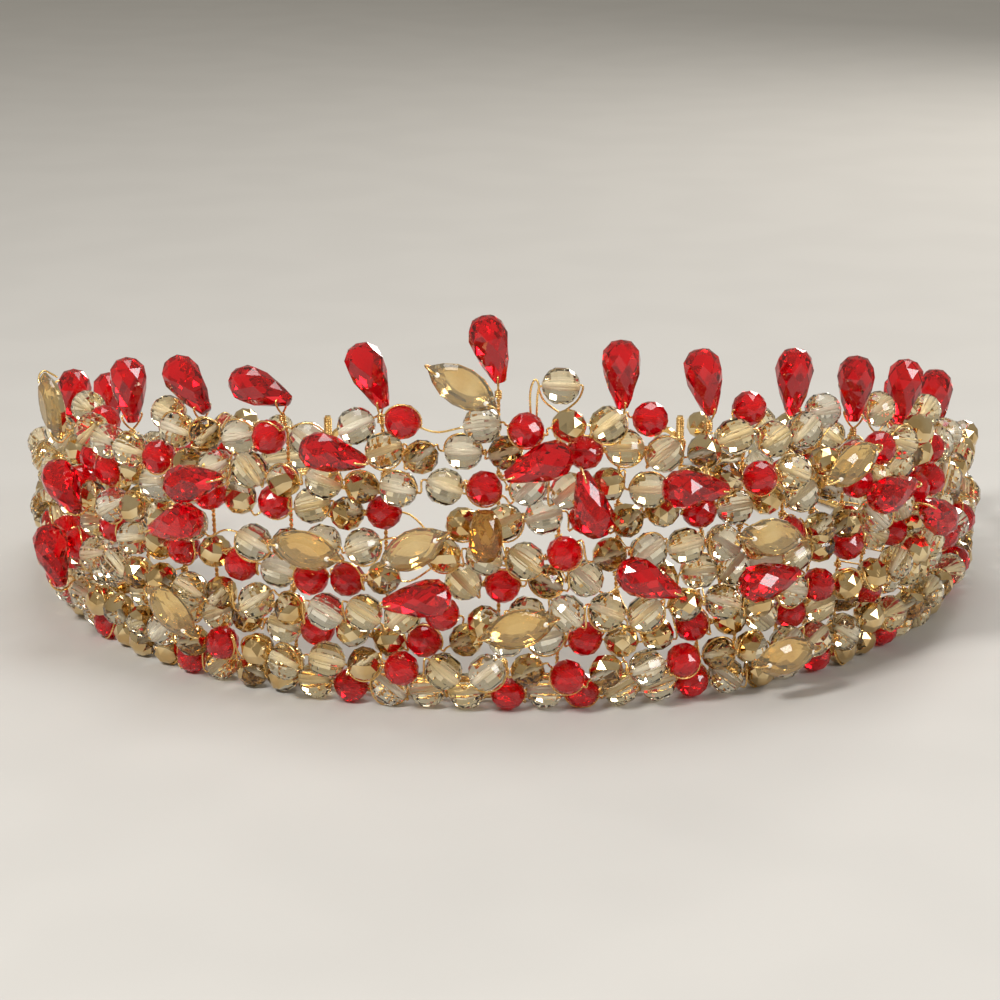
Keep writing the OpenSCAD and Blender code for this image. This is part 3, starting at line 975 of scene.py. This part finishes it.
class CROWN_OT_side_loops(bpy.types.Operator):
    """Passes a wire round the roomiest side of some beads"""

    bl_idname = "crown.side_loops"
    bl_label = "Side loops"

    def execute(self, context):
        rng = random.Random(f"{beads().seed} loops")
        every = [b for row in threaded_rows().values() for b in row]
        centres = np.array([b[0] for b in every])
        radii = np.array([b[2] for b in every])
        beside = 9 * MM         # beads nearer than this can be in the way
        shape = Shape()
        for i, bead in enumerate(every):
            if rng.random() <= beads().loops:
                near = np.linalg.norm(centres - centres[i], axis=1) < beside
                near[i] = False
                add_wire(shape, self.roomiest(bead, centres[near], radii[near]),
                         wires().thread_radius * FINE)
        wire_piece("side_loops", shape)
        return {"FINISHED"}

    def roomiest(self, bead, centres, radii):
        """The half ring round a bead that keeps clearest of its neighbours"""
        centre, _, radius, axis, _ = bead
        off_glass = 0.12 * MM
        enough = 0.4 * MM       # more room than this makes a side no better
        facing = 0.2            # the side that is liked best looks a little outwards
        tries, steps = 12, 12
        best = None
        for k in range(tries):
            turn = Matrix.Rotation(2 * math.pi * k / tries, 3, axis)
            side = (turn @ axis.orthogonal()).normalized()
            arc = [centre + (radius + off_glass) * (math.cos(t) * axis + math.sin(t) * side)
                   for t in (math.pi * j / steps for j in range(steps + 1))]
            room = min(np.linalg.norm(centres - np.array(p), axis=1).min() - radii.max()
                       for p in arc[3:-3]) if len(centres) else 1.0
            away = abs(side.dot(outward_at(centre)) - facing)
            score = min(room, enough) - 0.5 * MM * away
            if best is None or score > best[0]:
                best = (score, arc)
        return best[1]


class CROWN_OT_crest_wirework(bpy.types.Operator):
    """Twists the wire pairs that carry the crest drops and crest beads"""

    bl_idname = "crown.crest_wirework"
    bl_label = "Crest loops and ribs"

    def execute(self, context):
        loop = CREST_LOOP + [(-a, b) for a, b in CREST_LOOP[::-1]]
        below_knot, collar, collar_turns = 1.3 * MM, 0.45 * MM, 3.2
        below_bead = 1.4 * MM
        shape = Shape()
        for joint in frame["joints"]:
            pin, out = Vector(joint["pos_m"]), -Vector(joint["axis"])
            knot = pin + UP * CREST_LOOP[0][1] * MM
            add_wire(shape, bent(pin, out, UP, loop))
            add_twisted(shape, rib_path(azimuth(pin), knot[2]))
            add_wire(shape, coil(knot - below_knot * UP, UP, collar, collar_turns,
                                 COIL_PITCH, out))
        # One short loop stands free, just right of the middle
        tip = on_band(math.radians(3.2), 50 * MM, -1 * MM)
        add_wire(shape, bent(tip, Vector((1, 0, 0)), UP, FREE_LOOP))
        wire_piece("crest_loops", shape, ["crest_wires"])
        shape = Shape()
        for kind in ("clear", "red"):
            for centre, along, radius, _, _ in threaded(f"crest_beads_{kind}"):
                knot = centre - UP * (radius + below_bead)
                right, left = (self.leg(centre, way * along, radius) for way in (1, -1))
                add_wire(shape, smooth_path([knot, *right, *left[::-1], knot], 5))
                add_twisted(shape, rib_path(azimuth(centre), knot[2]))
        wire_piece("crest_bead_loops", shape, ["crest_bead_wires"])
        return {"FINISHED"}

    def leg(self, centre, out, radius):
        """One leg of a crest bead's loop, from below it up to its hole and in"""
        return [centre + out * radius * 0.8 - UP * (radius * 0.85),
                centre + out * (radius + 0.3 * MM) - UP * (radius * 0.3),
                centre + out * (radius + HOLE_CLEAR), centre + out * radius * 0.6]


class CROWN_OT_bindings(bpy.types.Operator):
    """Winds the hoop and binds the rows to the ribs behind them"""

    bl_idname = "crown.bindings"
    bl_label = "Bindings"

    def execute(self, context):
        self.hoop()
        rng = random.Random(f"{beads().seed} bindings")
        # Each rib's drop or bead, and how far below it the rib stays bare
        ribs = [(Vector(j["pos_m"]), 7 * MM) for j in frame["joints"]]
        ribs += [(b[0], 9 * MM) for kind in ("clear", "red")
                 for b in threaded(f"crest_beads_{kind}")]
        lowest = 3 * MM
        beside = 0.06           # a rib this far past a row's last bead is still bound, radians
        skipped = 0.3           # share of the crossings left unbound
        shape = Shape()
        for held_up, bare in ribs:
            angle = azimuth(held_up)
            for row in threaded_rows().values():
                gaps = [(a, b) for a, b in zip(row, row[1:])
                        if azimuth(a[0]) - beside < angle < azimuth(b[0]) + beside]
                if not gaps or rng.random() < skipped:
                    continue
                a, b = min(gaps, key=lambda g: abs(azimuth(g[0][0]) + azimuth(g[1][0]) - 2 * angle))
                held = (a[0] + b[0]) / 2
                if held[2] > held_up[2] - bare:
                    continue
                post = on_band(angle, held[2] + rng.uniform(-1, 1) * MM, -wires().rib_inside)
                if post[2] >= lowest:
                    add_wire(shape, self.binding(post, held), wires().thread_radius * FINE)
        wire_piece("bindings", shape)
        return {"FINISHED"}

    def binding(self, post, held):
        """A wire coiled on a rib, run out to a row and hooked round it"""
        way = (held - post).normalized()
        across = way.cross(UP)
        turns = coil(post, UP, 0.52 * MM, 2.75, COIL_PITCH, across)
        hook = coil(held - 0.3 * MM * across, across, 0.4 * MM, 1.6, 0.3 * MM, -way)
        return smooth_path([*turns[::2], turns[-1].lerp(hook[0], 0.5), *hook[::2]], 2)

    def hoop(self):
        """A thin wire wound along the whole base hoop"""
        low, high = node_box("base_hoop")
        thick = (high[2] - low[2]) / 2
        radius = high[0] - thick
        centre = Vector((0, band_middle(), (low[2] + high[2]) / 2))
        end = math.radians(150.5)
        spacing, gauge = 1.5 * MM, 0.14 * MM
        turns = int(2 * end * radius / spacing)
        steps = turns * 10
        reach = thick + 0.02 * MM
        path = []
        for k in range(steps + 1):
            a = -end + 2 * end * k / steps
            wind = 2 * math.pi * turns * k / steps
            path.append(centre + Vector((math.sin(a), -math.cos(a), 0))
                        * (radius + reach * math.cos(wind)) + UP * (reach * math.sin(wind)))
        shape = Shape()
        add_wire(shape, path, gauge)
        wire_piece("hoop_winding", shape)


class CROWN_OT_stone_ties(bpy.types.Operator):
    """Loops wire through the lying drops and navettes"""

    bl_idname = "crown.stone_ties"
    bl_label = "Stone ties"

    def execute(self, context):
        shape = Shape()
        for hole, long, out in teardrops("body_drops"):
            add_wire(shape, bent(hole, out, long, DROP_TIE))
        wire_piece("drop_ties", shape, ["body_drop_ties"])
        shape = Shape()
        for centre, long, out in navettes("navette_stones"):
            for way in (long, -long):
                add_wire(shape, bent(centre + way * NAVETTE_HOLES, out, way, NAVETTE_TIE))
        wire_piece("navette_loops", shape, ["navette_ties"])
        return {"FINISHED"}


class CROWN_OT_back_ends(bpy.types.Operator):
    """Finishes the base hoop, the end posts and the ribbon rings in gold"""

    bl_idname = "crown.back_ends"
    bl_label = "Hoop, posts and rings"

    def execute(self, context):
        foot, bare = 0.3 * MM, 0.7 * MM     # of a post, below the coil and in all
        shape = Shape()
        for side in ("left", "right"):
            low, high = node_box(f"end_post_{side}")
            start = Vector(((low[0] + high[0]) / 2, (low[1] + high[1]) / 2, low[2] + foot))
            radius = (high[0] - low[0]) / 2 + 0.08 * MM
            turns = (high[2] - low[2] - bare) / COIL_PITCH
            add_wire(shape, coil(start, UP, radius, turns, COIL_PITCH, Vector((1, 0, 0))))
        wire_piece("post_winding", shape)
        for node in ("base_hoop", "end_post_left", "end_post_right", "end_ring_left",
                     "end_ring_right"):
            data = frame["nodes"][node].data
            data.materials.clear()
            data.materials.append(bpy.data.materials["gold wire"])
        return {"FINISHED"}


class CROWN_OT_stage(bpy.types.Operator):
    """Lays the plain floor and sets the soft lights and the camera"""

    bl_idname = "crown.stage"
    bl_label = "Stage"

    def execute(self, context):
        self.floor()
        self.lights()
        self.camera(context)
        return {"FINISHED"}

    def floor(self):
        half, level = 3.0, CAD_BOX[0][2]
        mesh = new_mesh("floor", [(-half, -half, level), (half, -half, level),
                                  (half, half, level), (-half, half, level)], [(0, 1, 2, 3)])
        made = placed("floor", mesh)
        material, tree, shader = shaded("plain floor")
        colour = tuple(finishes().floor)
        add_tint(tree, shader, colour, scaled(colour, (0.98, 0.98, 0.98)), 40.0)
        shader.inputs["Roughness"].default_value = 0.75
        mesh.materials.append(material)

    def lights(self):
        world = bpy.context.scene.world or bpy.data.worlds.new("studio")
        bpy.context.scene.world = world
        world.use_nodes = True
        back = world.node_tree.nodes["Background"]
        back.inputs["Color"].default_value = (1.0, 0.93, 0.8, 1)
        back.inputs["Strength"].default_value = 0.34
        aim = Vector((0, 0, 0.02))
        for name, place, size, power, colour in (
                ("key", (-0.35, -0.45, 0.55), 0.16, 4.6, (1, 0.97, 0.93)),
                ("fill", (0.55, -0.35, 0.35), 0.25, 1.5, (0.97, 0.98, 1)),
                ("top", (0.05, 0.1, 0.7), 0.4, 1.7, (1, 1, 1)),
                ("rim", (0.3, 0.55, 0.3), 0.2, 1.2, (1, 0.95, 0.88))):
            lamp = bpy.data.lights.new(name, "AREA")
            lamp.shape = "DISK"
            lamp.size = size
            lamp.energy = power
            lamp.color = colour
            made = placed(name, lamp)
            made.location = place
            made.rotation_euler = (aim - Vector(place)).to_track_quat("-Z", "Y").to_euler()

    def camera(self, context):
        data = bpy.data.cameras.new("camera")
        data.lens = LENS
        data.sensor_width = 36.0
        made = placed("camera", data)
        front = node_box("clear_beads_lower")[0][1]
        made.location = (CAMERA_ACROSS, front - CAMERA_BEFORE, CAMERA_HEIGHT)
        made.rotation_euler = (math.pi / 2 - LOOK_DOWN, 0, 0)
        context.scene.camera = made
        context.scene.view_settings.view_transform = "Standard"


class CROWN_PT_panel(bpy.types.Panel):
    """Sizes, colours and pieces of the crown"""

    bl_idname = "CROWN_PT_panel"
    bl_label = "Bead crown"
    bl_space_type = "VIEW_3D"
    bl_region_type = "UI"
    bl_category = "Bead crown"

    def draw(self, context):
        for settings in (beads(), wires(), finishes()):
            box = self.layout.box()
            for name in settings.__annotations__:
                box.prop(settings, name)
        for piece_operator in PIECES:
            self.layout.operator(piece_operator.bl_idname)


PIECES = (CROWN_OT_stage, CROWN_OT_clear_beads, CROWN_OT_red_beads, CROWN_OT_plated_beads,
          CROWN_OT_crest_beads, CROWN_OT_drops, CROWN_OT_navettes, CROWN_OT_threads,
          CROWN_OT_side_loops, CROWN_OT_crest_wirework, CROWN_OT_stone_ties,
          CROWN_OT_bindings, CROWN_OT_back_ends)
SETTINGS = {"crown_beads": BeadSettings, "crown_wires": WireSettings,
            "crown_finishes": FinishSettings}
CLASSES = (*SETTINGS.values(), *PIECES, CROWN_PT_panel)


def register():
    for made in CLASSES:
        bpy.utils.register_class(made)
    for name, group in SETTINGS.items():
        setattr(bpy.types.Scene, name, bpy.props.PointerProperty(type=group))


def unregister():
    for name in SETTINGS:
        delattr(bpy.types.Scene, name)
    for made in reversed(CLASSES):
        bpy.utils.unregister_class(made)


def main():
    register()
    make_finishes()
    for maker in PIECES:
        getattr(bpy.ops.crown, maker.bl_idname.removeprefix("crown."))()


if __name__ == "__main__":
    main()
